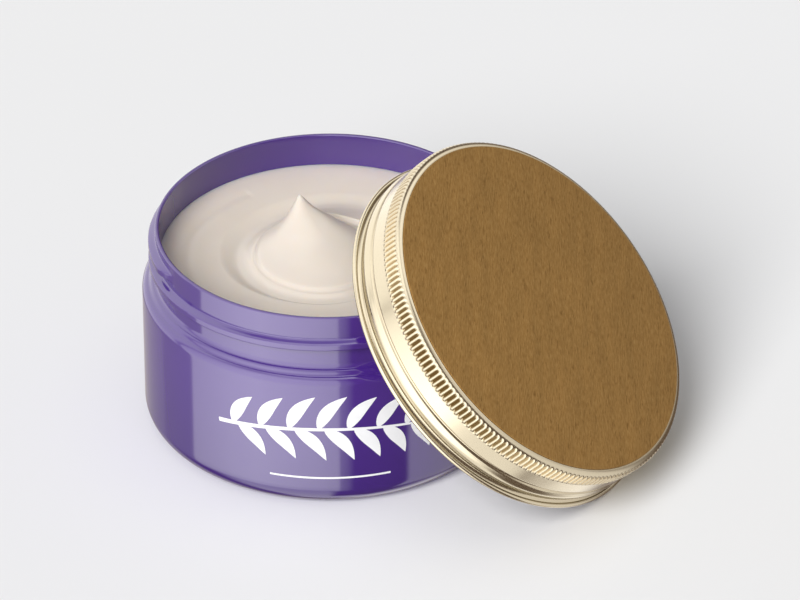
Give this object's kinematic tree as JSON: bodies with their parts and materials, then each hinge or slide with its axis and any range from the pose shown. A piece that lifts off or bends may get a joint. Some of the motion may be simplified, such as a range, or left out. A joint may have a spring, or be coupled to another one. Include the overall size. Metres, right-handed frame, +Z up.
{
  "type": "cosmetic cream jar",
  "caption": "Low wide screw jar of face cream with a gold aluminium lid and kraft paper disc, open, the lid leaning on the rim.",
  "frame": {"origin": "centre of the jar's flat underside, on the surface that the jar stands on", "axes": "+Z up along the jar's axis, +X from the jar's axis towards the leaning lid, +Y completes a right-handed frame"},
  "size_m": [0.1178, 0.0812, 0.0654],
  "materials": {
    "jar_plastic": "gloss",
    "cream": "satin",
    "gold_aluminium": "satin",
    "kraft_paper": "matte",
    "liner_foam": "matte"
  },
  "bodies": {
    "jar": {"jar_body": "jar_plastic", "cream_fill": "cream"},
    "liner": {"cap_liner": "liner_foam"},
    "cap": {"cap_shell": "gold_aluminium", "kraft_disc": "kraft_paper"}
  },
  "joints": [
    {"name": "lid_swing", "type": "hinge", "parent": "jar", "child": "liner", "pos_m": [-0.00403, 0, -0.01136], "axis": [0, -1, 0], "range_deg": [0, 44.25]},
    {"name": "lid_turn", "type": "hinge", "parent": "liner", "child": "cap", "pos_m": [0.04, 0, 0.02806], "axis": [0.6978, 0, 0.7163], "continuous": true}
  ]
}
